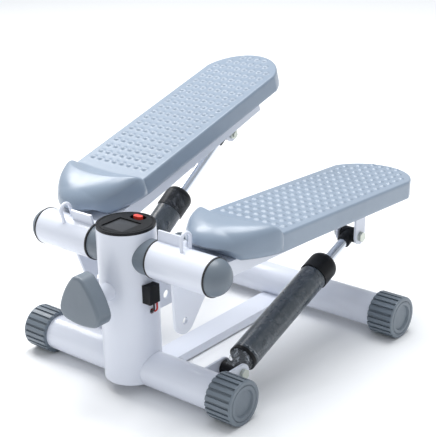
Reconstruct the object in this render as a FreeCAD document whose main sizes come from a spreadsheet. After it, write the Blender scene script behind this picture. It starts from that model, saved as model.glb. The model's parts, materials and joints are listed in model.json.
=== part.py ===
"""Mini stepper: a base of round tubes, a column with a cross axle, and two foot pedals on damper legs.

X runs along the pivot axle, Y runs from the console towards the heels, and Z is up. Sizes are in
millimetres. The pedals stand mid-step: the right one low, the left one high.
"""
import FreeCAD, Part
import math
import os
import re
import Sketcher

SIZES = {
    # base
    "tube_radius": 22.5, "tube_wall": 2, "base_spacing": 300, "front_offset": 2.2,
    "front_half": 172.5, "rear_half": 198.5,
    "cap_radius": 28, "cap_length": 37, "cap_end": 5, "cap_flat": 0.5, "cap_groove": 2,
    "cap_grooves": 22, "cap_slot": 3, "cap_recess": 15.5, "cap_sink": 2.5, "cap_ring": 22,
    "spine_half": 18, "spine_height": 11.5, "spine_sheet": 2.5, "spine_base": 2,
    # column and axle
    "column_radius": 36, "column_wall": 2.5, "column_foot": 14, "column_top": 208,
    "axle_radius": 10, "axle_end_radius": 8, "axle_end_length": 11, "running_gap": 0.05,
    "pivot_height": 176.5, "pivot_radius": 23, "pivot_wall": 3,
    "pivot_inner": 49.3, "pivot_outer": 135.5, "bush_flange": 2, "collar_radius": 22, "side_gap": 0.3,
    "dome_length": 18, "dome_wall": 2, "bush_sleeve": 20, "collar_start": 15,
    "axle_nut": 13, "axle_nut_length": 8,
    # pedal arms, measured from the axle
    "right_angle": -3.2, "left_angle": 15.8,
    "arm_top": 11, "arm_sheet": 3, "arm_depth": 20, "arm_length": 335, "arm_tail": 13,
    "tab_height": 36, "tab_end": 84,
    "lever_place": 82, "lever_sheet": 4, "lever_reach": 9, "lever_drop": 70, "lever_round": 16.5,
    "lever_hole": 4.5, "lever_back": 52,
    "loop_place": 92.4, "loop_rod": 2.2, "loop_bend": 7.5, "loop_top": 45,
    # foot plates
    "plate_place": 102.5, "plate_half": 60, "plate_top": 35, "plate_skin": 3, "plate_toe": 16,
    "plate_heel": 414, "heel_side": 369, "toe_side": 100, "toe_bend": 45, "lip_height": 14,
    "lip_front": 72, "lip_end": 110, "lip_bend": 62,
    "screw_radius": 2.5, "boss_radius": 6, "screw_place": 30, "screw_front": 70, "screw_rear": 290,
    "screw_bite": 10, "screw_head": 3,
    # dampers
    "clevis_place": 108.5, "clevis_reach": 314.6, "clevis_drop": 37, "clevis_gap": 26,
    "clevis_sheet": 3, "clevis_round": 11, "pin_radius": 4, "pin_head": 7, "pin_head_length": 4.5,
    "pin_nut_length": 5, "pin_tail": 2,
    "ear_place": 117, "ear_reach": 49, "ear_height": 33, "ear_round": 12,
    "eye_length": 24, "rod_eye_length": 21, "eye_radius": 10, "eye_gap": 0.1, "link_gap": 2,
    "damper_radius": 18, "damper_bore": 16, "damper_foot": 26, "damper_shoulder": 184,
    "head_radius": 19.5, "head_top": 218, "rod_radius": 6.5, "rod_reach": 190, "piston_length": 14,
    "piston_gap": 0.2, "stem_length": 18, "stem_socket": 12,
    # step adjuster
    "knob_height": 136, "knob_face": 85, "knob_depth": 21, "knob_radius": 35, "knob_lobe": 14,
    "knob_rim": 4, "knob_skin": 8, "screw_gap": 0.5, "adjuster_radius": 5, "adjuster_tail": 22,
    "boss_reach": 54, "guide_plane": 44, "guide_sheet": 3, "guide_hole": 5.5,
    "guide_place": 57, "guide_drop": 36, "thread_gap": 0.1,
    # console and sensor
    "console_radius": 35.7, "console_rim": 3.5, "console_skirt": 14, "console_fit": 0.2,
    "console_ring": 32.5, "ring_depth": 0.6, "board_sheet": 1.6, "lens_depth": 1.2, "window_sink": 1.5,
    "window_length": 35, "window_width": 33, "window_front": -24,
    "button_place": 21.5, "button_length": 13, "button_width": 7, "button_height": 2, "button_gap": 0.3,
    "button_stem": 6,
    "sensor_width": 17, "sensor_shift": 4.5, "sensor_height": 23, "sensor_depth": 10, "sensor_top": 144,
    "lead_radius": 1.2, "lead_bend": 6, "lead_entry": 107,
}

doc = FreeCAD.newDocument("stepper")
sheet = doc.addObject("Spreadsheet::Sheet", "Sizes")
for row, (alias, number) in enumerate(SIZES.items(), 1):
    sheet.set(f"A{row}", alias)
    sheet.set(f"B{row}", str(number))
    sheet.setAlias(f"B{row}", alias)
doc.recompute()

X, Y, Z = FreeCAD.Vector(1, 0, 0), FreeCAD.Vector(0, 1, 0), FreeCAD.Vector(0, 0, 1)
TURNS = {"X": FreeCAD.Rotation(Y, 90), "Y": FreeCAD.Rotation(X, -90), "Z": FreeCAD.Rotation()}
nodes = {}


def cells(expression):
    """The expression with every size name pointing at its cell."""
    return re.sub(r"\b[a-z]+_[a-z_]+\b", lambda word: "Sizes." + word.group(0), str(expression))


def value(expression):
    """The number that an expression of size names gives."""
    result = sheet.evalExpression(cells(expression))
    return float(getattr(result, "Value", result))


def bind(item, name, expression):
    item.setExpression(name, cells(expression))


def vector(x, y, z):
    return FreeCAD.Vector(value(x), value(y), value(z))


def place(item, at, turn=None):
    """Put a primitive at a point given by expressions, turned by a rotation."""
    item.Placement = FreeCAD.Placement(vector(*at), turn or FreeCAD.Rotation())
    for letter, expression in zip("xyz", at):
        bind(item, f"Placement.Base.{letter}", expression)
    return item


def cylinder(radius, length, axis="Z", at=(0, 0, 0)):
    item = doc.addObject("Part::Cylinder", "round")
    bind(item, "Radius", radius)
    bind(item, "Height", length)
    return place(item, at, TURNS[axis])


def box(length, width, height, at=(0, 0, 0)):
    item = doc.addObject("Part::Box", "block")
    bind(item, "Length", length)
    bind(item, "Width", width)
    bind(item, "Height", height)
    return place(item, at)


def hexagon(circumradius, length, axis="Z", at=(0, 0, 0)):
    item = doc.addObject("Part::Prism", "hexagon")
    item.Polygon = 6
    bind(item, "Circumradius", circumradius)
    bind(item, "Height", length)
    return place(item, at, TURNS[axis])


def fuse(*items):
    item = doc.addObject("Part::MultiFuse", "joined")
    item.Shapes = list(items)
    item.Refine = True
    return item


def cut(base, *tools):
    item = doc.addObject("Part::Cut", "cut")
    item.Base = base
    item.Tool = tools[0] if len(tools) == 1 else fuse(*tools)
    item.Refine = True
    return item


def group(*items):
    """Separate identical solids kept together in one sub-part."""
    item = doc.addObject("Part::Compound", "set")
    item.Links = list(items)
    return item


def body(name):
    return doc.addObject("PartDesign::Body", name)


def plane_of(item, role):
    return next(feature for feature in item.Origin.OriginFeatures if feature.Role == role)


def sketch_on(item, role):
    sketch = item.newObject("Sketcher::SketchObject", "outline")
    sketch.AttachmentSupport = (plane_of(item, role), [""])
    sketch.MapMode = "FlatFace"
    return sketch


def fix(sketch, kind, *where):
    """Add a dimension whose last entry is an expression, and bind it to the cells."""
    *target, expression = where
    index = sketch.addConstraint(Sketcher.Constraint(kind, *target, value(expression)))
    sketch.setExpression(f"Constraints[{index}]", cells(expression))


def circle(sketch, x, y, radius):
    index = sketch.addGeometry(Part.Circle(vector(x, y, 0), Z, value(radius)))
    fix(sketch, "Radius", index, radius)
    fix(sketch, "DistanceX", -1, 1, index, 3, x)
    fix(sketch, "DistanceY", -1, 1, index, 3, y)


def arc_between(start, end, radius, turn):
    """Geometry of the shorter arc from start to end. A turn of 1 bends left and -1 bends right."""
    chord = end - start
    half = chord.Length / 2
    normal = FreeCAD.Vector(-chord.y, chord.x, 0).normalize() * turn
    centre = start + chord / 2 + normal * math.sqrt(max(radius * radius - half * half, 0))
    angles = [math.atan2(point.y - centre.y, point.x - centre.x) for point in (start, end)]
    if turn < 0:
        angles.reverse()
    return Part.ArcOfCircle(Part.Circle(centre, Z, radius), *angles)


def outline(sketch, points):
    """Close a loop of lines and arcs. A point is (x, y), or (x, y, radius, turn) after an arc."""
    corners = [vector(point[0], point[1], 0) for point in points]
    ends = []
    for index, point in enumerate(points):
        start, end = corners[index - 1], corners[index]
        if len(point) == 2:
            edge = sketch.addGeometry(Part.LineSegment(start, end))
            ends.append((edge, 1, 2))
        else:
            edge = sketch.addGeometry(arc_between(start, end, value(point[2]), point[3]))
            ends.append((edge, 1, 2) if point[3] > 0 else (edge, 2, 1))
    for index, point in enumerate(points):
        edge, first, last = ends[index]
        following, next_first, _ = ends[(index + 1) % len(points)]
        sketch.addConstraint(Sketcher.Constraint("Coincident", edge, last, following, next_first))
        fix(sketch, "DistanceX", -1, 1, edge, last, point[0])
        fix(sketch, "DistanceY", -1, 1, edge, last, point[1])
        if len(point) == 4:
            fix(sketch, "Radius", edge, point[2])


def pad(item, sketch, length, middle=False):
    feature = item.newObject("PartDesign::Pad", "pad")
    feature.Profile = sketch
    bind(feature, "Length", length)
    feature.Midplane = middle
    doc.recompute()
    return feature


def carve(item, sketch, length, **direction):
    """Take a sketch out of a body, by a length or right through, and see that it cuts something."""
    before = item.Shape.Volume
    feature = item.newObject("PartDesign::Pocket", "pocket")
    feature.Profile = sketch
    for name, setting in direction.items():
        setattr(feature, name, setting)
    if length is None:
        feature.Type = "ThroughAll"
    else:
        bind(feature, "Length", length)
    doc.recompute()
    assert item.Shape.Volume < before, f"a pocket of {item.Label} cuts nothing"
    return feature


def pocket(item, sketch, length=None):
    """Cut a sketch right through, or by a length that is centred on its plane."""
    return carve(item, sketch, length, Midplane=True)


def sink(item, sketch, length):
    """Cut a sketch into the side of the body that the sketch's normal points to."""
    return carve(item, sketch, length, Reversed=True)


def ring(name, outer, inner, length):
    """A tube along X, centred on the body's origin."""
    item = body(name)
    sketch = sketch_on(item, "YZ_Plane")
    circle(sketch, 0, 0, outer)
    circle(sketch, 0, 0, inner)
    pad(item, sketch, length, True)
    return item


def revolve(item, sketch, axis):
    feature = item.newObject("PartDesign::Revolution", "revolution")
    feature.Profile = sketch
    feature.ReferenceAxis = (sketch, [axis])
    feature.Angle = 360
    doc.recompute()
    return feature


def settle(name, item, placement):
    """Name a finished sub-part and carry it from its own frame to its place on the object."""
    local = item.Placement
    if item.isDerivedFrom("Part::Primitive"):
        for letter in "xyz":
            item.setExpression(f"Placement.Base.{letter}", None)
    item.Label = name
    item.Placement = placement * local
    nodes[name] = item


def keep(name, item, base=(0, 0, 0), turn=None):
    settle(name, item, FreeCAD.Placement(vector(*base), turn or FreeCAD.Rotation()))


# ---------------------------------------------------------------- base
AXIS_HEIGHT = "(cap_radius - cap_flat)"
REAR_PLACE = "(base_spacing + front_offset)"


def base_tubes():
    for name, half, depth in (("front_base_tube", "front_half", "front_offset"),
                              ("rear_base_tube", "rear_half", REAR_PLACE)):
        tube = ring("tube", "tube_radius", "tube_radius - tube_wall", f"2 * ({half} - cap_end)")
        keep(name, tube, (0, depth, AXIS_HEIGHT))


def spine_channel():
    """The low folded bar that joins the two base tubes from below, coped to both."""
    half, rise = "spine_half", "spine_height"
    outside = box(f"2 * {half}", REAR_PLACE, rise, (f"-{half}", 0, 0))
    inside = box(f"2 * ({half} - spine_sheet)", f"{REAR_PLACE} + 20", rise,
                 (f"-{half} + spine_sheet", -10, "-spine_sheet"))
    tubes = [cylinder("tube_radius", "4 * tube_radius", "X",
                      ("-2 * tube_radius", depth, f"{AXIS_HEIGHT} - spine_base"))
             for depth in ("front_offset", REAR_PLACE)]
    keep("spine_channel", cut(outside, inside, *tubes), (0, 0, "spine_base"))


def end_cap(name, side, half, depth):
    """A moulded cup over the tube's end, with lengthwise grooves and a small flat to stand on."""
    item = body("cap")
    profile = sketch_on(item, "XY_Plane")
    outline(profile, [
        ("-cap_length", "tube_radius"), ("-cap_length", "cap_radius - 1"),
        ("-cap_length + 1", "cap_radius", "1", -1), ("-2", "cap_radius"), (0, "cap_radius - 2", "2", -1),
        (0, "cap_ring + 0.8"), ("-1", "cap_ring"), (0, "cap_ring - 0.8"),
        (0, "cap_recess + 1.5"), ("-cap_sink", "cap_recess"), ("-cap_sink", 0), ("-cap_end", 0),
        ("-cap_end", "tube_radius"),
    ])
    revolve(item, profile, "H_Axis")
    groove = sketch_on(item, "XZ_Plane")
    outline(groove, [
        ("-cap_length - 1", "cap_radius - cap_groove"), ("-4", "cap_radius - cap_groove"),
        (0, "cap_radius + 1"), ("-cap_length - 1", "cap_radius + 1"),
    ])
    cutter = pocket(item, groove, "cap_slot")
    pattern = item.newObject("PartDesign::PolarPattern", "grooves")
    pattern.Originals = [cutter]
    pattern.Axis = (plane_of(item, "X_Axis"), [""])
    pattern.Angle = 360
    bind(pattern, "Occurrences", "cap_grooves")
    item.Tip = pattern
    doc.recompute()
    foot = sketch_on(item, "XZ_Plane")
    outline(foot, [
        ("-cap_length - 1", "-cap_radius - 2"), (1, "-cap_radius - 2"),
        (1, "-cap_radius + cap_flat"), ("-cap_length - 1", "-cap_radius + cap_flat"),
    ])
    pocket(item, foot)
    turn = FreeCAD.Rotation() if side > 0 else FreeCAD.Rotation(Z, 180)
    keep(name, item, (f"{side} * {half}", depth, AXIS_HEIGHT), turn)


def column():
    """The post, with cross bores for the front tube, the axle, the adjuster and the sensor leads."""
    wall = cylinder("column_radius", "column_top - column_foot", "Z", (0, 0, "column_foot"))
    boss = cylinder("2 * adjuster_radius + 1", "boss_reach", "Y", (0, "-boss_reach", "knob_height"))
    bore = cylinder("column_radius - column_wall", "column_top", "Z", (0, 0, 0))
    base = cylinder("tube_radius", "4 * column_radius", "X",
                    ("-2 * column_radius", "front_offset", AXIS_HEIGHT))
    axle = cylinder("axle_radius", "4 * column_radius", "X", ("-2 * column_radius", 0, "pivot_height"))
    screw = cylinder("adjuster_radius + screw_gap", "4 * column_radius", "Y",
                     (0, "-2 * column_radius", "knob_height"))
    leads = cylinder("3.5", "2 * column_radius", "X", (0, 0, "lead_entry"))
    keep("column", cut(fuse(wall, boss), bore, base, axle, screw, leads))


# ---------------------------------------------------------------- axle
NUT_PLACE = "(pivot_outer + bush_flange + side_gap)"


def axle():
    core = cylinder("axle_radius", f"2 * {NUT_PLACE}", "X", (f"-{NUT_PLACE}", 0, 0))
    ends = cylinder("axle_end_radius", f"2 * ({NUT_PLACE} + axle_end_length)", "X",
                    (f"-{NUT_PLACE} - axle_end_length", 0, 0))
    keep("pivot_axle", fuse(core, ends), (0, 0, "pivot_height"))
    nuts = []
    for start in (NUT_PLACE, f"(-{NUT_PLACE} - axle_nut_length)"):
        nut = hexagon("axle_nut", "axle_nut_length", "X", (start, 0, 0))
        thread = cylinder("axle_end_radius", "axle_nut_length + 2", "X", (f"{start} - 1", 0, 0))
        nuts.append(cut(nut, thread))
    keep("axle_nuts", group(*nuts), (0, 0, "pivot_height"))
    collars = []
    length = "(pivot_inner - bush_flange - side_gap - collar_start)"
    for start in ("collar_start", f"(-collar_start - {length})"):
        collar = cylinder("collar_radius", length, "X", (start, 0, 0))
        bore = cylinder("axle_radius", f"{length} + 2", "X", (f"{start} - 1", 0, 0))
        post = cylinder("column_radius", "4 * collar_radius", "Z", (0, 0, "-2 * collar_radius"))
        collars.append(cut(collar, bore, post))
    keep("spacer_collars", group(*collars), (0, 0, "pivot_height"))


# ---------------------------------------------------------------- pedal arms
def side_name(side, name):
    return f"{'right' if side > 0 else 'left'}_{name}"


def arm_turn(side):
    return FreeCAD.Rotation(X, value("right_angle" if side > 0 else "left_angle"))


def keep_on_arm(side, name, item, place_x="0", offset=(0, 0, 0), spin=None):
    """Put a sub-part modelled round the axle on its pedal arm."""
    turn = arm_turn(side)
    base = FreeCAD.Vector(side * value(place_x), 0, value("pivot_height")) + turn.multVec(vector(*offset))
    settle(side_name(side, name), item, FreeCAD.Placement(base, turn * (spin or FreeCAD.Rotation())))


TUBE_LENGTH = "(pivot_outer - pivot_inner)"
TUBE_MIDDLE = "(pivot_outer / 2 + pivot_inner / 2)"
SCREWS = [(x, y) for x in ("-screw_place", "screw_place") for y in ("screw_front", "screw_rear")]


def pivot_tube(side):
    tube = ring("pivot", "pivot_radius", "pivot_radius - pivot_wall", TUBE_LENGTH)
    keep_on_arm(side, "pivot_tube", tube, TUBE_MIDDLE)
    bushes = []
    for direction in (1, -1):
        rim = cylinder("pivot_radius + 0.5", "bush_flange", "X",
                       (f"{direction} * ({TUBE_LENGTH} / 2 + bush_flange / 2) - bush_flange / 2", 0, 0))
        sleeve = cylinder("pivot_radius - pivot_wall", "bush_sleeve", "X",
                          (f"{direction} * ({TUBE_LENGTH} - bush_sleeve) / 2 - bush_sleeve / 2", 0, 0))
        bore = cylinder("axle_radius + running_gap", "3 * bush_sleeve", "X",
                        (f"{direction} * {TUBE_LENGTH} / 2 - 1.5 * bush_sleeve", 0, 0))
        bushes.append(cut(fuse(rim, sleeve), bore))
    keep_on_arm(side, "pivot_bushes", group(*bushes), TUBE_MIDDLE)


def dome_cap(side):
    """The rounded plastic cap that hides the axle nut."""
    item = body("dome")
    profile = sketch_on(item, "XY_Plane")
    sphere = "((pivot_radius - 0.5)^2 + dome_length^2) / (2 * dome_length)"
    core = "((pivot_radius - 0.5 - dome_wall)^2 + (dome_length - dome_wall)^2)"
    core += " / (2 * (dome_length - dome_wall))"
    outline(profile, [
        (0, "pivot_radius - 0.5"), ("dome_length", 0, sphere, -1), ("dome_length - dome_wall", 0),
        (0, "pivot_radius - 0.5 - dome_wall", core, 1),
    ])
    revolve(item, profile, "H_Axis")
    spin = FreeCAD.Rotation() if side > 0 else FreeCAD.Rotation(Z, 180)
    keep_on_arm(side, "dome_cap", item, "pivot_outer + bush_flange", spin=spin)


def arm_channel(side):
    """The folded sheet channel under the foot plate, coped to the pivot tube."""
    item = body("arm")
    profile = sketch_on(item, "YZ_Plane")
    outline(profile, [
        (5, "arm_top"), (5, "arm_top - arm_depth"), ("arm_length", "arm_top - arm_tail"),
        ("arm_length", "arm_top"),
    ])
    pad(item, profile, TUBE_LENGTH, True)
    inside = sketch_on(item, "YZ_Plane")
    outline(inside, [
        (0, "arm_top - arm_sheet"), (0, "arm_top - arm_depth - 5"),
        ("arm_length + 5", "arm_top - arm_depth - 5"), ("arm_length + 5", "arm_top - arm_sheet"),
    ])
    pocket(item, inside, f"{TUBE_LENGTH} - 2 * arm_sheet")
    tube = sketch_on(item, "YZ_Plane")
    circle(tube, 0, 0, "pivot_radius")
    pocket(item, tube)
    screws = sketch_on(item, "XY_Plane")
    for x, y in SCREWS:
        circle(screws, x, y, "screw_radius")
    pocket(item, screws)
    keep_on_arm(side, "arm_channel", item, TUBE_MIDDLE)


def toe_tab(side):
    """The upright tab on the tube that the toe end of the foot plate leans on."""
    width = "(tab_end - pivot_inner)"
    tab = box(width, "arm_sheet", "tab_height", (f"-{width} / 2", "0", "0"))
    tube = cylinder("pivot_radius", f"{width} + 20", "X", (f"-{width} / 2 - 10", 0, 0))
    keep_on_arm(side, "toe_tab", cut(tab, tube), "tab_end / 2 + pivot_inner / 2")


def lever_plate(side):
    """The hanging plate that links the two arms, with an open hole at its tip."""
    item = body("lever")
    profile = sketch_on(item, "YZ_Plane")
    outline(profile, [
        ("-12.5", "-15"), ("lever_reach - 0.985 * lever_round", "-lever_drop - 0.174 * lever_round"),
        ("lever_reach", "-lever_drop - lever_round", "lever_round", 1),
        ("lever_reach + 0.819 * lever_round", "-lever_drop - 0.574 * lever_round", "lever_round", 1),
        ("lever_back - 6", "-lever_drop + 22"), ("lever_back", "-lever_drop + 40"),
        ("lever_back", "arm_top - arm_sheet"), (0, "arm_top - arm_sheet"), (0, 0),
    ])
    pad(item, profile, "lever_sheet", True)
    holes = sketch_on(item, "YZ_Plane")
    circle(holes, 0, 0, "pivot_radius")
    circle(holes, "lever_reach", "-lever_drop", "lever_hole")
    pocket(item, holes)
    keep_on_arm(side, "lever_plate", item, "lever_place")


def strap_loop(side):
    """The bent rod eye on top of the pivot tube, for an exercise band."""
    bend_height = "(loop_top - loop_rod - loop_bend)"
    legs = [cylinder("loop_rod", bend_height, "Z", (0, y, 0)) for y in ("loop_bend", "-loop_bend")]
    bend = doc.addObject("Part::Torus", "bend")
    bind(bend, "Radius1", "loop_bend")
    bind(bend, "Radius2", "loop_rod")
    bend.Angle3 = 180
    turn = FreeCAD.Rotation(Y, 90) * FreeCAD.Rotation(Z, 90)
    place(bend, (0, 0, bend_height), turn)
    tube = cylinder("pivot_radius", "40", "X", (-20, 0, 0))
    keep_on_arm(side, "strap_loop", cut(fuse(*legs, bend), tube), "loop_place")


def rear_clevis(side):
    """Two cheeks under the arm that hold the top of the damper."""
    item = body("clevis")
    top = "arm_top - arm_sheet"
    front, rear = "clevis_reach - clevis_round", "clevis_reach + clevis_round"
    profile = sketch_on(item, "YZ_Plane")
    outline(profile, [
        (front, top), (front, "-clevis_drop"),
        ("clevis_reach", "-clevis_drop - clevis_round", "clevis_round", 1),
        (rear, "-clevis_drop", "clevis_round", 1), (rear, top),
    ])
    pad(item, profile, "clevis_gap + 2 * clevis_sheet", True)
    gap = sketch_on(item, "YZ_Plane")
    outline(gap, [
        (f"{front} - 5", f"{top} - clevis_sheet"), (f"{front} - 5", "-clevis_drop - clevis_round - 5"),
        (f"{rear} + 5", "-clevis_drop - clevis_round - 5"), (f"{rear} + 5", f"{top} - clevis_sheet"),
    ])
    pocket(item, gap, "clevis_gap")
    hole = sketch_on(item, "YZ_Plane")
    circle(hole, "clevis_reach", "-clevis_drop", "pin_radius")
    pocket(item, hole)
    keep_on_arm(side, "rear_clevis", item, "clevis_place")


def pin_set(side, at_y, at_z):
    """A bolt through two cheeks with its head on the outer side, and its nut."""
    width = "(clevis_gap + 2 * clevis_sheet)"
    outside = (f"{width} / 2", f"-{width} / 2")
    tail = "(pin_nut_length + pin_tail)"
    if side > 0:
        shank_start, head_start = f"{outside[1]} - {tail}", outside[0]
        nut_start = f"{outside[1]} - pin_nut_length"
    else:
        shank_start, head_start = outside[1], f"{outside[1]} - pin_head_length"
        nut_start = outside[0]
    shank = cylinder("pin_radius", f"{width} + {tail}", "X", (shank_start, at_y, at_z))
    bolt = fuse(shank, hexagon("pin_head", "pin_head_length", "X", (head_start, at_y, at_z)))
    thread = cylinder("pin_radius", "pin_nut_length + 6", "X", (f"{nut_start} - 3", at_y, at_z))
    nut = cut(hexagon("pin_head", "pin_nut_length", "X", (nut_start, at_y, at_z)), thread)
    return bolt, nut


def clevis_pin(side):
    bolt, nut = pin_set(side, "clevis_reach", "-clevis_drop")
    keep_on_arm(side, "clevis_bolt", bolt, "clevis_place")
    keep_on_arm(side, "clevis_nut", nut, "clevis_place")


# ---------------------------------------------------------------- foot plates
NOSE_CENTRE = "(plate_toe + toe_bend)"
SIDE_BEND = "(((toe_side - plate_toe - toe_bend)^2 + plate_half^2 - toe_bend^2)"
SIDE_BEND += " / (2 * (plate_half - toe_bend)))"
HEEL_BEND = "((plate_half^2 + (plate_heel - heel_side)^2) / (2 * (plate_heel - heel_side)))"


def plate_outline(sketch, inset="0"):
    """Plan of the foot plate: a long rounded toe, straight sides and an arched heel."""
    half = f"(plate_half - {inset})"
    side_bend = f"({SIDE_BEND} - {inset})"
    nose_bend = f"(toe_bend - {inset})"
    heel_bend = f"({HEEL_BEND} - {inset})"
    corner = f"(plate_heel - {HEEL_BEND} + sqrt({heel_bend}^2 - {half}^2))"
    slope = f"(({SIDE_BEND} - plate_half) / ({SIDE_BEND} - toe_bend))"
    drop = f"((toe_side - {NOSE_CENTRE}) / ({SIDE_BEND} - toe_bend))"
    join_x, join_y = f"({nose_bend} * {slope})", f"({NOSE_CENTRE} - {nose_bend} * {drop})"
    outline(sketch, [
        (half, corner), (0, f"plate_heel - {inset}", heel_bend, 1), (f"-{half}", corner, heel_bend, 1),
        (f"-{half}", "toe_side"), (f"-{join_x}", join_y, side_bend, 1),
        (0, f"plate_toe + {inset}", nose_bend, 1), (join_x, join_y, nose_bend, 1),
        (half, "toe_side", side_bend, 1),
    ])


def foot_plate(side):
    """A moulded shell, open below, with a raised toe lip and four screw bosses."""
    item = body("plate")
    top = sketch_on(item, "XY_Plane")
    plate_outline(top)
    pad(item, top, "plate_top + lip_height")
    deck = sketch_on(item, "YZ_Plane")
    outline(deck, [
        ("plate_toe - 8", "plate_top - 8"), ("lip_front", "plate_top + lip_height", "lip_bend", -1),
        ("lip_end", "plate_top", "lip_bend", 1), ("plate_heel + 10", "plate_top"),
        ("plate_heel + 10", "plate_top + 30"), ("plate_toe - 8", "plate_top + 30"),
    ])
    pocket(item, deck)
    below = sketch_on(item, "XY_Plane")
    outline(below, [
        ("plate_half + 1", 0), ("plate_half + 1", "plate_heel + 10"),
        ("-plate_half - 1", "plate_heel + 10"), ("-plate_half - 1", 0),
    ])
    sink(item, below, "arm_top")
    hollow = sketch_on(item, "XY_Plane")
    bind(hollow, "AttachmentOffset.Base.z", "arm_top")
    plate_outline(hollow, "plate_skin")
    for x, y in SCREWS:
        circle(hollow, f"{x} + {TUBE_MIDDLE} - plate_place", y, "boss_radius")
    sink(item, hollow, "plate_top - plate_skin - arm_top")
    nose = sketch_on(item, "YZ_Plane")
    outline(nose, [
        (0, "arm_top - 5"), ("plate_toe + 20", "arm_top - 5"), ("plate_toe + 20", "arm_top"),
        ("plate_toe", "plate_top"), (0, "plate_top"),
    ])
    pocket(item, nose)
    pilots = sketch_on(item, "XY_Plane")
    bind(pilots, "AttachmentOffset.Base.z", "arm_top")
    for x, y in SCREWS:
        circle(pilots, f"{x} + {TUBE_MIDDLE} - plate_place", y, "screw_radius")
    sink(item, pilots, "screw_bite + 2")
    keep_on_arm(side, "foot_plate", item, "plate_place")
    screws = []
    for x, y in SCREWS:
        shank = cylinder("screw_radius", "arm_sheet + screw_bite", "Z", (x, y, "arm_top - arm_sheet"))
        head = cylinder("2 * screw_radius", "screw_head", "Z", (x, y, "arm_top - arm_sheet - screw_head"))
        screws.append(fuse(shank, head))
    keep_on_arm(side, "plate_screws", group(*screws), TUBE_MIDDLE)


# ---------------------------------------------------------------- dampers
def damper_frame(side):
    """Where a damper's lower eye stands, its length, and the turn that lays Z along it."""
    low = vector(f"{side} * ear_place", "ear_reach", "ear_height")
    reach = arm_turn(side).multVec(vector(0, "clevis_reach", "-clevis_drop"))
    high = FreeCAD.Vector(side * value("clevis_place"), reach.y, reach.z + value("pivot_height"))
    along = high - low
    length = along.Length
    along.normalize()
    across = (X - along * X.dot(along)).normalize()
    turn = FreeCAD.Rotation(across, along.cross(across), along, "ZXY")
    return low, length, turn


def keep_on_damper(side, name, item, offset=0.0):
    low, _, turn = damper_frame(side)
    settle(side_name(side, name), item, FreeCAD.Placement(low + turn.multVec(Z) * offset, turn))


def across_damper(side, radius, length):
    """A cylinder through a damper's eye, along the pin and not square to the leaning damper."""
    item = doc.addObject("Part::Cylinder", "pin")
    bind(item, "Radius", radius)
    bind(item, "Height", length)
    back = damper_frame(side)[2].inverted()
    item.Placement = FreeCAD.Placement(back.multVec(X * (-value(length) / 2)), back * TURNS["X"])
    return item


def damper_cylinder(side):
    tube = cylinder("damper_radius", "damper_shoulder - damper_foot", "Z", (0, 0, "damper_foot"))
    bore = cylinder("damper_bore", "damper_shoulder - damper_foot + 2", "Z", (0, 0, "damper_foot - 1"))
    keep_on_damper(side, "damper_tube", cut(tube, bore))
    barrel = across_damper(side, "eye_radius", "eye_length")
    neck = cylinder("eye_radius - 2", "damper_foot - 4", "Z", (0, 0, 0))
    foot = cylinder("damper_radius", "5", "Z", (0, 0, "damper_foot - 5"))
    pin = across_damper(side, "pin_radius + eye_gap", "eye_length + 2")
    keep_on_damper(side, "damper_eye", cut(fuse(barrel, neck, foot), pin))
    head = body("head")
    profile = sketch_on(head, "XZ_Plane")
    outline(profile, [
        ("rod_radius + eye_gap", "damper_shoulder - 8"), ("damper_bore", "damper_shoulder - 8"),
        ("damper_bore", "damper_shoulder"), ("head_radius", "damper_shoulder"),
        ("head_radius", "head_top - 12"), ("head_radius - 12", "head_top", "12", 1),
        ("rod_radius + eye_gap", "head_top"),
    ])
    revolve(head, profile, "V_Axis")
    keep_on_damper(side, "damper_head", head)


def damper_rod(side):
    """The rod, its piston and the moulded eye, modelled down from the upper eye's centre."""
    length = damper_frame(side)[1]
    rod = cylinder("rod_radius", "rod_reach - stem_socket", "Z", (0, 0, "-rod_reach"))
    keep_on_damper(side, "damper_rod", rod, length)
    disc = cylinder("damper_bore - piston_gap", "piston_length", "Z", (0, 0, "-rod_reach"))
    hole = cylinder("rod_radius", "piston_length + 2", "Z", (0, 0, "-rod_reach - 1"))
    keep_on_damper(side, "damper_piston", cut(disc, hole), length)
    barrel = across_damper(side, "eye_radius", "rod_eye_length")
    stem = cylinder("eye_radius - 1", "stem_length", "Z", (0, 0, "-stem_length"))
    socket = cylinder("rod_radius", "stem_length", "Z", (0, 0, "-stem_length - stem_socket"))
    pin = across_damper(side, "pin_radius + link_gap", "rod_eye_length + 2")
    keep_on_damper(side, "rod_end", cut(fuse(barrel, stem), socket, pin), length)


def damper_ears():
    """Two pairs of ears welded behind the front tube, with their bolts and nuts."""
    pairs, bolts, nuts = [], [], []
    width = "(clevis_gap + 2 * clevis_sheet)"
    for side in (1, -1):
        arm = box(width, "ear_reach - front_offset", "ear_round + 8",
                  (f"-{width} / 2", "front_offset", "ear_height - 8"))
        nose = cylinder("ear_round", width, "X", (f"-{width} / 2", "ear_reach", "ear_height"))
        gap = box("clevis_gap", "2 * ear_reach", "60", ("-clevis_gap / 2", "-10", "0"))
        tube = cylinder("tube_radius", "60", "X", (-30, "front_offset", AXIS_HEIGHT))
        hole = cylinder("pin_radius", "60", "X", (-30, "ear_reach", "ear_height"))
        bolt, nut = pin_set(side, "ear_reach", "ear_height")
        parts = (cut(fuse(arm, nose), gap, tube, hole), bolt, nut)
        for part, store in zip(parts, (pairs, bolts, nuts)):
            part.Placement.Base.x = side * value("ear_place")
            store.append(part)
    keep("damper_ears", group(*pairs))
    keep("ear_bolts", group(*bolts))
    keep("ear_nuts", group(*nuts))


# ---------------------------------------------------------------- step adjuster
def cosine(angle):
    return math.cos(math.radians(angle))


def sine(angle):
    return math.sin(math.radians(angle))


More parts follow.
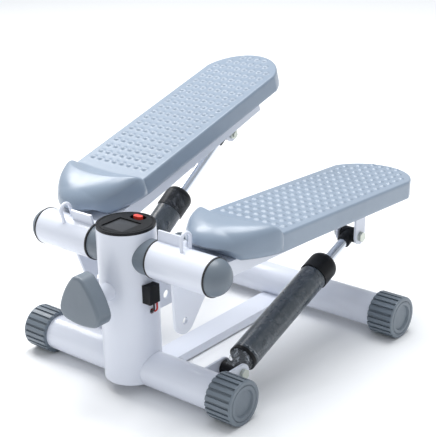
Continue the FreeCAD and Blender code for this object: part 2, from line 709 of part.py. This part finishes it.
def step_knob():
    """A three-lobed hand knob on the front of the column."""
    item = body("knob")
    face = sketch_on(item, "XZ_Plane")
    middle, far = "(knob_radius - knob_lobe)", "(2 * knob_radius)"
    span = f"sqrt({middle}^2 + {far}^2 + {middle} * {far})"
    points = []
    for lobe in (90, 210, 330):
        for across, bend in ((120, f"{span} + knob_lobe"), (240, "knob_lobe")):
            ends = [f"({middle} * {turn(lobe):.6f} + knob_lobe / {span}"
                    f" * ({middle} * {turn(lobe):.6f} - {far} * ({turn(lobe + across):.6f})))"
                    for turn in (cosine, sine)]
            points.append((*ends, bend, 1))
    outline(face, points)
    blank = pad(item, face, "knob_depth")
    front = blank.Shape.BoundBox.YMin
    edges = [f"Edge{index}" for index, edge in enumerate(blank.Shape.Edges, 1)
             if edge.BoundBox.YMax < front + 0.01]
    rim = item.newObject("PartDesign::Fillet", "rim")
    rim.Base = (blank, edges)
    bind(rim, "Radius", "knob_rim")
    doc.recompute()
    round_hole = sketch_on(item, "XZ_Plane")
    circle(round_hole, 0, 0, "adjuster_radius")
    sink(item, round_hole, "knob_depth - knob_skin")
    keep("step_knob", item, (0, "-knob_face + knob_depth", "knob_height"))
    rod = cylinder("adjuster_radius", "knob_face - knob_skin + guide_plane + adjuster_tail", "Y")
    keep("adjuster_rod", rod, (0, "-knob_face + knob_skin", "knob_height"))


def guide_plate():
    """The bent plate on the adjuster that carries the link cable through its open hole."""
    tab = box("20", "guide_sheet", "30", (-13, "guide_plane", "knob_height - 15"))
    leg = box("guide_sheet", "guide_place + 9 - guide_plane", "guide_drop + 30",
              ("7 - guide_sheet", "guide_plane", "knob_height - guide_drop - 15"))
    thread = cylinder("adjuster_radius + thread_gap", "20", "Y", (0, "guide_plane - 5", "knob_height"))
    hole = cylinder("guide_hole", "20", "X", (-4, "guide_place", "knob_height - guide_drop"))
    rod = cylinder("adjuster_radius + 2", "30", "Y", (0, "guide_plane + guide_sheet", "knob_height"))
    keep("guide_plate", cut(fuse(tab, leg), thread, hole, rod))


# ---------------------------------------------------------------- console and sensor
def console():
    """The round display housing in the column's mouth, its window, board and button."""
    rim = cylinder("console_radius", "console_rim", "Z", (0, 0, "column_top"))
    plug = "(column_radius - column_wall - console_fit)"
    skirt = cylinder(plug, "console_skirt + 1", "Z", (0, 0, "column_top - console_skirt"))
    room = cylinder(f"{plug} - 2", "console_skirt + 1.5", "Z", (0, 0, "column_top - console_skirt - 0.5"))
    floor = "column_top + console_rim - window_sink - lens_depth"
    corner = ("-window_length / 2", "window_front", floor)
    well = box("window_length", "window_width", "window_sink + lens_depth + 1", corner)
    ring_top = "column_top + console_rim - ring_depth"
    island = cylinder("console_ring - 0.5", "4 * ring_depth", "Z", (0, 0, f"{ring_top} - ring_depth"))
    ring_groove = cut(cylinder("console_ring + 0.5", "2 * ring_depth", "Z", (0, 0, ring_top)), island)
    slot = pill("button_length + 2 * button_gap", "button_width + 2 * button_gap", "20",
                "column_top - 5")
    keep("console_housing", cut(fuse(rim, skirt), room, well, slot, ring_groove))
    keep("console_lens", box("window_length", "window_width", "lens_depth", corner))
    button = pill("button_length", "button_width", "button_height + button_stem",
                  "column_top + console_rim - button_stem")
    keep("mode_button", button)
    board = cylinder(plug, "board_sheet", "Z")
    keep("console_board", board, (0, 0, "column_top - console_skirt - board_sheet"))


def pill(length, width, height, level):
    """A block with round ends that lies across the rear part of the console."""
    straight = f"({length} - {width})"
    middle = box(straight, width, height, (f"-{straight} / 2", f"button_place - {width} / 2", level))
    ends = [cylinder(f"{width} / 2", height, "Z", (f"{sign} * {straight} / 2", "button_place", level))
            for sign in (1, -1)]
    return fuse(middle, *ends)


def sensor():
    """The step counter's reed sensor on the column's side, and its two leads."""
    block = box("sensor_depth + 6", "sensor_width", "sensor_height",
                ("column_radius - 6", "-sensor_width / 2 - sensor_shift", "sensor_top - sensor_height"))
    post = cylinder("column_radius", "2 * sensor_height", "Z", (0, 0, "sensor_top - 1.5 * sensor_height"))
    keep("sensor_housing", cut(block, post))
    for name, y, reach in (("sensor_lead_black", -1.6, 5.0), ("sensor_lead_red", 1.6, 7.0)):
        start = vector("column_radius", y, "sensor_top - sensor_height") + X * reach
        low = FreeCAD.Vector(start.x, y, value("lead_entry"))
        inner = FreeCAD.Vector(value("column_radius - column_wall") - 4, y, low.z)
        bend = min(value("lead_bend"), 0.9 * (start.z - low.z))
        corner_a, corner_b = low + Z * bend, low - X * bend
        middle = low + FreeCAD.Vector(-bend, 0, bend) * (1 - math.sqrt(0.5))
        path = Part.Wire([Part.LineSegment(start, corner_a).toShape(),
                          Part.Arc(corner_a, middle, corner_b).toShape(),
                          Part.LineSegment(corner_b, inner).toShape()])
        section = Part.Wire([Part.Circle(start, Z, value("lead_radius")).toShape()])
        lead = doc.addObject("Part::Feature", name)
        lead.Shape = path.makePipeShell([section], True, False)
        print(name, "bend radius", bend, "length", round(path.Length, 1))
        keep(name, lead)


def build():
    base_tubes()
    spine_channel()
    for name, side, half, depth in (("front_right_cap", 1, "front_half", "front_offset"),
                                    ("front_left_cap", -1, "front_half", "front_offset"),
                                    ("rear_right_cap", 1, "rear_half", REAR_PLACE),
                                    ("rear_left_cap", -1, "rear_half", REAR_PLACE)):
        end_cap(name, side, half, depth)
    column()
    axle()
    damper_ears()
    step_knob()
    guide_plate()
    console()
    sensor()
    for side in (1, -1):
        for piece in (pivot_tube, dome_cap, arm_channel, toe_tab, lever_plate, strap_loop, rear_clevis,
                      clevis_pin, foot_plate, damper_cylinder, damper_rod):
            piece(side)


def centre_on_floor():
    """Slide everything along Y so that the origin is under the middle of the whole object."""
    boxes = [item.Shape.optimalBoundingBox() for item in nodes.values()]
    shift = -(min(box_.YMin for box_ in boxes) + max(box_.YMax for box_ in boxes)) / 2
    print("shift along Y", round(shift, 4))
    for item in nodes.values():
        item.Placement = FreeCAD.Placement(Y * shift, FreeCAD.Rotation()) * item.Placement


def write():
    for item in doc.Objects:
        assert not {"Invalid", "Error"} & set(item.State), f"{item.Label} failed: {item.State}"
    os.makedirs("parts", exist_ok=True)
    for name, item in nodes.items():
        assert not item.Shape.isNull() and item.Shape.isValid(), f"{name} has no valid shape"
        item.Shape.exportStep(f"parts/{name}.step")
    print(len(nodes), "nodes")


build()
doc.recompute()
centre_on_floor()
doc.recompute()
write()
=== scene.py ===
"""Looks for a twin pedal mini stepper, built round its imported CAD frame."""
import json
import math

import bmesh
import bpy
import numpy as np
from mathutils import Matrix, Vector


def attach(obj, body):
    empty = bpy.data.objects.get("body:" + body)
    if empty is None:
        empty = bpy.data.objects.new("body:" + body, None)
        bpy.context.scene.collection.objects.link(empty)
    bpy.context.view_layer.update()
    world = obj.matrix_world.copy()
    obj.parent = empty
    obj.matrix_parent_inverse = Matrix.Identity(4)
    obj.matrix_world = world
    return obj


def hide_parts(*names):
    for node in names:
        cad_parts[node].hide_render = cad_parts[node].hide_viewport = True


MM = 0.001
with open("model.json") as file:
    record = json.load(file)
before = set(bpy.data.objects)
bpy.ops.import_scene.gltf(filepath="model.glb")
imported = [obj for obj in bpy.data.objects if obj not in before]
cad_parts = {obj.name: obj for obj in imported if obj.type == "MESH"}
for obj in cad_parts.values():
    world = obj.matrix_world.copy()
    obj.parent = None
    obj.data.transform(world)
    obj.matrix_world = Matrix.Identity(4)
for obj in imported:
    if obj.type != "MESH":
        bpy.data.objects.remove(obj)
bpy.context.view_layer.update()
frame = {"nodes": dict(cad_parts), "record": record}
NODES = frame["nodes"]
SIDES = {"right": 1, "left": -1}
ANGLES = {"right": math.radians(-3.2), "left": math.radians(15.8)}
SHIFT = -165.1541 * MM
PIVOT = Vector((0, SHIFT, 176.5 * MM))


# ---------------------------------------------------------------- materials
class Graph:
    """A material's node tree with one Principled shader."""

    def __init__(self, name, colour, rough, metal=0.0, coat=0.0, coat_rough=0.1, ior=1.5, spec=0.5):
        self.material = bpy.data.materials.new(name)
        self.material.use_nodes = True
        self.nodes = self.material.node_tree.nodes
        self.links = self.material.node_tree.links
        self.shader = next(n for n in self.nodes if n.type == "BSDF_PRINCIPLED")
        for socket, number in (("Metallic", metal), ("Coat Weight", coat), ("Coat Roughness", coat_rough),
                               ("IOR", ior), ("Specular IOR Level", spec), ("Roughness", rough)):
            self.shader.inputs[socket].default_value = number
        self.shader.inputs["Base Color"].default_value = (*colour, 1)
        self.where = self.node("ShaderNodeTexCoord").outputs["Object"]
        self.colour, self.rough, self.height = (*colour, 1), rough, None

    def node(self, kind, **settings):
        item = self.nodes.new(kind)
        for key, setting in settings.items():
            setattr(item, key, setting)
        return item

    def feed(self, socket, source):
        if isinstance(source, bpy.types.NodeSocket):
            self.links.new(source, socket)
        else:
            socket.default_value = source

    def noise(self, scale, detail=3.0, rough=0.5, stretch=None):
        item = self.node("ShaderNodeTexNoise")
        item.inputs["Scale"].default_value = scale
        item.inputs["Detail"].default_value = detail
        item.inputs["Roughness"].default_value = rough
        source = self.where
        if stretch:
            mapping = self.node("ShaderNodeMapping")
            mapping.inputs["Scale"].default_value = stretch
            self.links.new(source, mapping.inputs["Vector"])
            source = mapping.outputs["Vector"]
        self.links.new(source, item.inputs["Vector"])
        return item.outputs["Fac"]

    def ramp(self, source, low, high, start=0.0, end=1.0):
        item = self.node("ShaderNodeMapRange", clamp=True)
        for socket, number in (("From Min", low), ("From Max", high), ("To Min", start), ("To Max", end)):
            item.inputs[socket].default_value = number
        self.links.new(source, item.inputs["Value"])
        return item.outputs["Result"]

    def tint(self, factor, colour):
        """Mix a colour over what is there, by a factor."""
        item = self.node("ShaderNodeMix", data_type="RGBA")
        self.feed(item.inputs["Factor"], factor)
        self.feed(item.inputs[6], self.colour)
        self.feed(item.inputs[7], (*colour, 1) if isinstance(colour, tuple) else colour)
        self.colour = item.outputs[2]
        self.links.new(self.colour, self.shader.inputs["Base Color"])
        return self

    def roughen(self, factor, rough):
        item = self.node("ShaderNodeMix")
        self.feed(item.inputs["Factor"], factor)
        self.feed(item.inputs[2], self.rough)
        self.feed(item.inputs[3], rough)
        self.rough = item.outputs[0]
        self.links.new(self.rough, self.shader.inputs["Roughness"])
        return self

    def bump(self, source, depth, strength=1.0):
        item = self.node("ShaderNodeBump")
        item.inputs["Distance"].default_value = depth
        item.inputs["Strength"].default_value = strength
        self.links.new(source, item.inputs["Height"])
        if self.height is not None:
            self.links.new(self.height, item.inputs["Normal"])
        self.height = item.outputs["Normal"]
        self.links.new(self.height, self.shader.inputs["Normal"])
        return self

    def soften(self, radius):
        """Round hard edges in the shading before any bump is laid on."""
        item = self.node("ShaderNodeBevel", samples=4)
        item.inputs["Radius"].default_value = radius
        self.height = item.outputs["Normal"]
        self.links.new(self.height, self.shader.inputs["Normal"])
        return self


def white_paint():
    g = Graph("white_paint", (0.76, 0.79, 0.87), 0.30, coat=0.35, coat_rough=0.12)
    g.soften(0.0006)
    g.tint(g.ramp(g.noise(14, 4), 0.35, 0.7, 0, 0.5), (0.71, 0.745, 0.84))
    g.tint(g.ramp(g.noise(260, 6, 0.7), 0.66, 0.72, 0, 0.10), (0.45, 0.47, 0.52))
    g.roughen(g.ramp(g.noise(60, 5), 0.3, 0.7), 0.40)
    g.bump(g.noise(1400, 2), 0.00004, 0.6)
    return g.material


def plastic(name, colour, other, rough, grain=1800, depth=0.00004, coat=0.0, spec=0.5):
    g = Graph(name, colour, rough, coat=coat, coat_rough=0.25, spec=spec)
    g.soften(0.0008)
    g.tint(g.ramp(g.noise(22, 5), 0.3, 0.7, 0, 0.7), other)
    g.tint(g.ramp(g.noise(420, 4, 0.7), 0.64, 0.74, 0, 0.25), tuple(min(1, c * 1.5 + 0.02) for c in colour))
    g.roughen(g.ramp(g.noise(90, 5), 0.3, 0.7), min(1, rough + 0.12))
    g.bump(g.noise(grain, 3), depth, 0.7)
    return g.material


def metal(name, colour, rough, stretch, coat=0.0):
    g = Graph(name, colour, rough, metal=1.0, coat=coat)
    g.soften(0.0003)
    brushed = g.noise(500, 3, 0.6, stretch)
    g.tint(g.ramp(brushed, 0.3, 0.7, 0, 0.5), tuple(c * 0.75 for c in colour))
    g.tint(g.ramp(g.noise(180, 5, 0.7), 0.62, 0.72, 0, 0.4), tuple(c * 0.5 for c in colour))
    g.roughen(g.ramp(g.noise(70, 4), 0.35, 0.65), rough + 0.12)
    g.bump(brushed, 0.00002, 0.5)
    return g.material


def clear_film(name, thin, layers_and_highlight_alpha, crease):
    """Loose clear wrapping: nearly invisible where it lies smooth, whitish along its creases, partly the
    real layering of gathered film and partly a painted highlight for the light the folds catch.
    """
    g = Graph(name, (0.80, 0.85, 0.90), 0.12, ior=1.4, spec=0.7)
    creases_and_painted_light = g.noise(95, 6, 0.7, (1.6, 1.6, 0.45))
    # painted shade: the film's colour is drawn darker and bluer into the folds, where the creases would lie
    # in shade
    g.tint(g.ramp(creases_and_painted_light, 0.4, 0.6, 0, 0.5), (0.68, 0.74, 0.82))
    # painted highlight: the film turns denser and whitish along the creases to stand in for the light they
    # catch; in the gathered sleeve the extra density is partly its real layers
    g.links.new(g.ramp(creases_and_painted_light, 0.50, 0.68, thin, layers_and_highlight_alpha), g.shader.inputs["Alpha"])
    g.roughen(g.ramp(creases_and_painted_light, 0.56, 0.66), 0.25)
    g.bump(creases_and_painted_light, crease, 0.5)
    return g.material


def display():
    """The dark display under its window."""
    g = Graph("lens_plastic", (0.022, 0.024, 0.028), 0.30, coat=0.15, coat_rough=0.08, spec=0.3)
    g.tint(g.ramp(g.noise(35, 3), 0.3, 0.7, 0, 0.4), (0.05, 0.052, 0.056))
    g.bump(g.noise(900, 2), 0.00001, 0.3)
    return g.material


MATERIALS = {
    "white_paint": white_paint(),
    "grey_plastic": plastic("grey_plastic", (0.165, 0.20, 0.235), (0.135, 0.165, 0.20), 0.36, coat=0.2),
    "pedal_plastic": plastic("pedal_plastic", (0.25, 0.315, 0.40), (0.23, 0.29, 0.37), 0.30, coat=0.5),
    "black_plastic": plastic("black_plastic", (0.006, 0.0065, 0.008), (0.011, 0.012, 0.014), 0.34, spec=0.2),
    "bush_nylon": plastic("bush_nylon", (0.015, 0.015, 0.016), (0.03, 0.03, 0.032), 0.5),
    "damper_paint": plastic("damper_paint", (0.028, 0.040, 0.052), (0.040, 0.054, 0.068), 0.24, coat=0.5),
    "zinc_steel": metal("zinc_steel", (0.58, 0.61, 0.55), 0.28, (1, 1, 6)),
    "chrome_rod": metal("chrome_rod", (0.62, 0.66, 0.72), 0.12, (14, 14, 0.6)),
    "lens_plastic": display(),
    "button_red": plastic("button_red", (0.85, 0.06, 0.035), (0.75, 0.05, 0.03), 0.30, coat=0.5),
    "board_green": plastic("board_green", (0.03, 0.18, 0.07), (0.02, 0.13, 0.05), 0.35),
    "lead_red": plastic("lead_red", (0.55, 0.03, 0.025), (0.45, 0.025, 0.02), 0.38),
    "lead_black": plastic("lead_black", (0.012, 0.012, 0.013), (0.02, 0.02, 0.02), 0.38),
    # the third number, the opacity along the creases, is partly the film's real layers and partly a painted
    # highlight
    "clear_film": clear_film("clear_film", 0.03, 0.16, 0.0006),
    "film_gathers": clear_film("film_gathers", 0.12, 0.62, 0.0016),
}
SLOTS = {row["node"]: row["material_slot"] for row in frame["record"]["subparts"]}


def wear(item, name):
    item.data.materials.clear()
    item.data.materials.append(MATERIALS[name])


for node_name, item in NODES.items():
    wear(item, SLOTS[node_name])


# ---------------------------------------------------------------- mesh helpers
def build(name, points, faces, material, angle):
    """A smooth shaded object from points and faces, sharp where it turns by more than an angle."""
    mesh = bpy.data.meshes.new(name)
    mesh.from_pydata([tuple(p) for p in points], [], faces)
    mesh.validate()
    item = bpy.data.objects.new(name, mesh)
    bpy.context.scene.collection.objects.link(item)
    work = bmesh.new()
    work.from_mesh(mesh)
    bmesh.ops.recalc_face_normals(work, faces=work.faces)
    work.to_mesh(mesh)
    work.free()
    mesh.shade_smooth()
    mesh.set_sharp_from_angle(angle=math.radians(angle))
    wear(item, material)
    return item


def loft(rings, closed=True):
    """Points and faces that join rings of equal length, each closed into a loop or left open."""
    points = [p for ring in rings for p in ring]
    count = len(rings[0])
    faces = []
    for r in range(len(rings) - 1):
        for k in range(count if closed else count - 1):
            a, b = r * count + k, r * count + (k + 1) % count
            faces.append((a, b, b + count, a + count))
    return points, faces


def arm_point(side, x, u, w):
    """A point of a pedal arm at rest: x across, u along it and w above its axle, in millimetres."""
    a = ANGLES[side]
    return PIVOT + Vector((x, u * math.cos(a) - w * math.sin(a), u * math.sin(a) + w * math.cos(a))) * MM


# ---------------------------------------------------------------- foot plates
HALF, TOE, HEEL, TOE_SIDE, TOE_BEND = 60.0, 16.0, 414.0, 100.0, 45.0
SIDE_BEND = ((TOE_SIDE - TOE - TOE_BEND) ** 2 + HALF ** 2 - TOE_BEND ** 2) / (2 * (HALF - TOE_BEND))
HEEL_BEND = 62.5
PLATE_TOP, PLATE_BASE, LIP, CREST = 35.0, 11.0, 14.8, 60.0
WALL_TOP, BULGE, BULGE_FADE, BULGE_END = 24.0, 3.6, 80.0, 91.0
PLATE_PLACE, FOOT_CHAMFER = 102.5, 0.6
DOME_RADIUS, DOME_HEIGHT = 4.5, 2.3
FIRST_ROW, LAST_COLUMN, DOME_MARGIN, DOME_START = 109.5, 3.5, 6.5, 7
COLUMN_PITCH, ROW_PITCH = 12.9, 15.4


def half_width(u, inset=0.0):
    """Half the plate's width at a station, from its arcs."""
    half = HALF - inset
    nose = TOE + TOE_BEND
    join = nose - TOE_BEND * (TOE_SIDE - nose) / (SIDE_BEND - TOE_BEND)
    if u < join:
        return math.sqrt(max((TOE_BEND - inset) ** 2 - (u - nose) ** 2, 0))
    if u < TOE_SIDE:
        return HALF - SIDE_BEND + math.sqrt(max((SIDE_BEND - inset) ** 2 - (u - TOE_SIDE) ** 2, 0))
    heel = math.sqrt(max((HEEL_BEND - inset) ** 2 - (u - HEEL + HEEL_BEND) ** 2, 0))
    return min(half, heel) if u > HEEL - HEEL_BEND else half


def edge_distance(x, u):
    """Roughly how far a plan point is inside the outline."""
    low, high = 0.0, HALF
    for _ in range(14):
        middle = (low + high) / 2
        inside = abs(x) <= half_width(u, middle) + 1e-9 and TOE + middle <= u <= HEEL - middle
        low, high = (middle, high) if inside else (low, middle)
    return low


def hood_bulge(u):
    """How far the hood stands proud of the deck's outline."""
    if u < BULGE_FADE:
        return BULGE
    return BULGE * math.sqrt(max(0.0, 1 - ((u - BULGE_FADE) / (BULGE_END - BULGE_FADE)) ** 2))


def clamp(value, low=0.0, high=1.0):
    return max(low, min(high, value))


def hood_crest(x):
    """Where the hood is highest: its two ends reach further back than its middle."""
    return CREST + 17.0 * clamp(abs(x) / HALF) ** 2.5


def hood_end(x):
    return hood_crest(x) + 29.0 - 16.0 * clamp(abs(x) / HALF) ** 3


def top_height(x, u):
    """Height of the outer skin: a domed hood over the toes that falls in a scoop to the deck."""
    deck = PLATE_TOP
    if u > 80:
        q = clamp(1 - edge_distance(x, u) / 2.5)
        deck -= 2.5 * (1 - math.sqrt(max(0.0, 1 - q * q)))
    end, crest = hood_end(x), hood_crest(x)
    if u >= end:
        return deck
    q = clamp(abs(x) / max(half_width(u, -hood_bulge(u)), 0.01))
    power = 2.2 + 3.0 * clamp((u - 30) / 45)
    front = (1 - clamp((crest - u) / (crest - TOE + BULGE)) ** 2.3) ** (1 / 2.3)
    hood = WALL_TOP + (PLATE_TOP + LIP - WALL_TOP) * front * (1 - q ** power) ** (1 / power)
    if u <= crest:
        return hood
    v = clamp((u - crest) / (end - crest))
    side = clamp(abs(x) / HALF) ** 3
    share = (1 - v ** (1.35 + 0.8 * side)) ** (1.9 - 1.2 * side)
    return deck + (hood - deck) * share


def domes(x, u):
    """Height of the round grips on the deck."""
    column = round(x / COLUMN_PITCH - 0.5) + 0.5
    column = max(-LAST_COLUMN, min(LAST_COLUMN, column))
    row = round((u - FIRST_ROW) / ROW_PITCH)
    cx, cu = column * COLUMN_PITCH, FIRST_ROW + row * ROW_PITCH
    if cu < hood_end(cx) + DOME_START or edge_distance(cx, cu) < DOME_MARGIN:
        return 0.0
    q = math.hypot(x - cx, u - cu) / DOME_RADIUS
    return DOME_HEIGHT * (1 - q * q) ** 0.7 if q < 1 else 0.0


def foot_plate(side):
    sign = SIDES[side]
    tip = TOE - BULGE
    nose = [tip + (1 - math.cos(t)) * 24 for t in np.linspace(0.03, math.pi / 2, 22, endpoint=False)]
    straight = list(np.arange(tip + 24, HEEL - 14, 1.1))
    heel = [HEEL - 14 + 14 * math.sin(t) for t in np.linspace(0, math.pi / 2 - 0.02, 16)]
    stations = nose + straight + heel
    across = 108
    sweep = [math.sin(t) * 0.25 + 0.75 * t / (math.pi / 2)
             for t in np.linspace(-math.pi / 2, math.pi / 2, across + 1)]
    rings = []
    walls = 9
    for u in stations:
        bulge = hood_bulge(u)
        half = half_width(u, -bulge)
        base = PLATE_BASE + clamp((38.0 - u) * 0.95, 0, 17)
        tops = [top_height(s * half, u) + domes(s * half, u) for s in sweep]
        sides = []
        for sgn, edge in ((-1, tops[0]), (1, tops[-1])):
            wall = []
            for k in range(walls):
                t = k / walls
                swell = bulge * math.sin(min(1, t * 1.6) * math.pi / 2)
                reach = half_width(u, -swell) - (FOOT_CHAMFER if k == 0 else 0)
                wall.append((sgn * min(half, reach), base + (edge - base) * t))
            sides.append([(sgn * max(sgn * x, 0.0), w) for x, w in wall])
        left, right = sides
        outline = left + [(s * half, t) for s, t in zip(sweep, tops)] + right[::-1]
        rings.append([arm_point(side, sign * PLATE_PLACE + x, u, w) for x, w in outline])
    points, faces = loft(rings, closed=False)
    count = len(rings[0])
    faces += [tuple(range(count)), tuple((len(rings) - 1) * count + k for k in range(count))[::-1]]
    # the underside: closed under the nose, then hollow
    hollow_start = next(i for i, u in enumerate(stations) if u > 39.5)
    for i in range(hollow_start):
        a, b = i * count, (i + 1) * count
        faces.append((a, b, b + count - 1, a + count - 1))
    inner = [i for i in range(hollow_start, len(stations)) if stations[i] < HEEL - 3.2]
    first = len(points)
    steps = 8
    for i in inner:
        u = stations[i]
        half = max(half_width(u, 3.0), 0.4)
        ceiling = PLATE_TOP - 3
        shape = [(-half, PLATE_BASE)] + [(-half + 2 * half * k / steps, ceiling) for k in range(steps + 1)]
        shape.append((half, PLATE_BASE))
        points += [arm_point(side, sign * PLATE_PLACE + x, u, w) for x, w in shape]
    size = steps + 3
    for j in range(len(inner) - 1):
        for k in range(size - 1):
            a = first + j * size + k
            faces.append((a, a + 1, a + 1 + size, a + size))
        a, b = inner[j] * count, first + j * size
        faces.append((a, b, b + size, a + count))
        faces.append((a + count - 1, a + 2 * count - 1, b + 2 * size - 1, b + size - 1))
    faces.append(tuple(first + k for k in range(size)))
    a, b = inner[0] * count, first
    faces.append((a, a + count - 1, b + size - 1, b))
    last = first + (len(inner) - 1) * size
    faces.append(tuple(last + k for k in range(size)))
    tail = inner[-1] * count
    rim = [tail, last, last + size - 1, tail + count - 1]
    rim += [i * count + count - 1 for i in range(inner[-1] + 1, len(stations))]
    rim += [i * count for i in range(len(stations) - 1, inner[-1], -1)]
    faces.append(tuple(rim))
    plate = build(f"{side}_tread", points, faces, "pedal_plastic", angle=50)
    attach(plate, f"{side}_pedal")
    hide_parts(f"{side}_foot_plate")
    return plate


# ---------------------------------------------------------------- dampers
FILM_TOPS, FILM_SEEDS = {"right": 183.0, "left": 208.0}, {"right": 7, "left": 11}
FILM_GATHER, FILM_POINTS, HEAD_START, EAR_TOP, FILM_IN_EARS = 30.0, 144, 183.5, 15.0, 12.4


def damper_axis(side):
    """Lower eye, upper eye and unit direction of a damper at rest."""
    sign = SIDES[side]
    low = Vector((117 * sign, 49, 33)) * MM + Vector((0, SHIFT, 0))
    high = arm_point(side, 108.5 * sign, 314.6, -37)
    return low, high, (high - low).normalized()


def film_ring(z, top, phases):
    """One turn of the film, in millimetres across the damper, gathered in towards the lower eye."""
    foot, head = clamp((FILM_GATHER - z) / FILM_GATHER), clamp((z - top + 9) / 9)
    barrel = 18.5 if z < HEAD_START else 19.9
    least = barrel - 0.35
    wide = barrel + (10.6 - barrel) * foot ** 0.6
    deep = barrel + (12.8 - barrel) * foot ** 0.8
    twist = 0.05 + 0.22 * foot
    ring = []
    for k in range(FILM_POINTS):
        a = 2 * math.pi * k / FILM_POINTS
        crease = sum(math.sin(n * a + phases[n] + twist * z * math.sin(phases[n])) / n for n in range(2, 14))
        pleat = abs(math.sin(7.5 * a + phases[1] + 0.3 * z)) - 0.5
        swell = math.sqrt(max(foot * (1 - foot), 0.0))
        r = (0.14 + 1.6 * swell + 0.5 * head) * crease + (3.2 * swell + 0.5 * head) * pleat
        x, y = (wide + r) * math.cos(a), (deep + r) * math.sin(a)
        reach = math.hypot(x, y)
        if foot == 0 and reach < least:
            x, y = x * least / reach, y * least / reach
        if z < EAR_TOP:
            x = clamp(x, -FILM_IN_EARS, FILM_IN_EARS)
        ring.append((x, y))
    return ring


def film_sleeve(side):
    """Clear film still wrapped round the damper, gathered at its lower end and loose at the top."""
    low, _, along = damper_axis(side)
    across = (Vector((1, 0, 0)) - along * along.x).normalized()
    other = along.cross(across)
    phases = np.random.default_rng(FILM_SEEDS[side]).uniform(0, 2 * math.pi, 16)
    top = FILM_TOPS[side]
    for name, heights, material in (("film", np.linspace(FILM_GATHER, top, 112), "clear_film"),
                                    ("film_gathers", np.linspace(-3, FILM_GATHER, 40), "film_gathers")):
        rings = [[low + along * (z * MM) + (across * x + other * y) * MM
                  for x, y in film_ring(z, top, phases)] for z in heights]
        points, faces = loft(rings)
        piece = build(f"{side}_{name}", points, faces, material, angle=35)
        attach(piece, f"{side}_cylinder")


for side in SIDES:
    foot_plate(side)
    film_sleeve(side)


# ---------------------------------------------------------------- floor, light and camera
def floor():
    size = 6.0
    mesh = bpy.data.meshes.new("floor")
    corners = [(-size, -size, 0), (size, -size, 0), (size, size, 0), (-size, size, 0)]
    mesh.from_pydata(corners, [], [(0, 1, 2, 3)])
    item = bpy.data.objects.new("floor", mesh)
    bpy.context.scene.collection.objects.link(item)
    g = Graph("floor_white", (0.93, 0.935, 0.94), 0.8, spec=0.1)
    g.tint(g.ramp(g.noise(3, 2), 0.3, 0.7, 0, 0.3), (0.91, 0.916, 0.925))
    item.data.materials.append(g.material)


def area_light(name, place, target, size, watts, colour=(1, 1, 1)):
    data = bpy.data.lights.new(name, "AREA")
    data.shape, data.size, data.energy, data.color = "DISK", size, watts, colour
    item = bpy.data.objects.new(name, data)
    bpy.context.scene.collection.objects.link(item)
    item.location = place
    item.rotation_euler = (Vector(target) - Vector(place)).to_track_quat("-Z", "Y").to_euler()


def camera():
    azimuth, elevation, roll = (math.radians(a) for a in (40.31, 20.89, -1.57))
    target = Vector((101.0, 48.9, 223.9)) * MM + Vector((0, SHIFT, 0))
    back = Vector((math.sin(azimuth) * math.cos(elevation), -math.cos(azimuth) * math.cos(elevation),
                   math.sin(elevation)))
    right = Vector((math.cos(azimuth), math.sin(azimuth), 0))
    up = back.cross(right)
    right2 = right * math.cos(roll) + up * math.sin(roll)
    up2 = back.cross(right2)
    data = bpy.data.cameras.new("view")
    data.sensor_width = 36.0
    data.lens = 1162.06 * 36.0 / 437
    data.clip_start, data.clip_end = 0.05, 50
    item = bpy.data.objects.new("view", data)
    bpy.context.scene.collection.objects.link(item)
    matrix = Matrix((right2, up2, back)).transposed().to_4x4()
    matrix.translation = target + back * 1.335
    item.matrix_world = matrix
    bpy.context.scene.camera = item


def sky():
    world = bpy.data.worlds.new("studio")
    world.use_nodes = True
    background = world.node_tree.nodes["Background"]
    background.inputs["Color"].default_value = (0.93, 0.96, 1.0, 1)
    background.inputs["Strength"].default_value = 0.64
    bpy.context.scene.world = world


floor()
sky()
area_light("key", (-1.6, 0.2, 1.9), (0, 0, 0.15), 1.2, 26, (1.0, 0.99, 0.98))
area_light("above", (-0.2, 0.5, 2.6), (0, 0, 0.1), 1.8, 54, (0.98, 0.99, 1.0))
camera()
bpy.context.scene.view_settings.view_transform = "Standard"
bpy.context.scene.view_settings.look = "None"
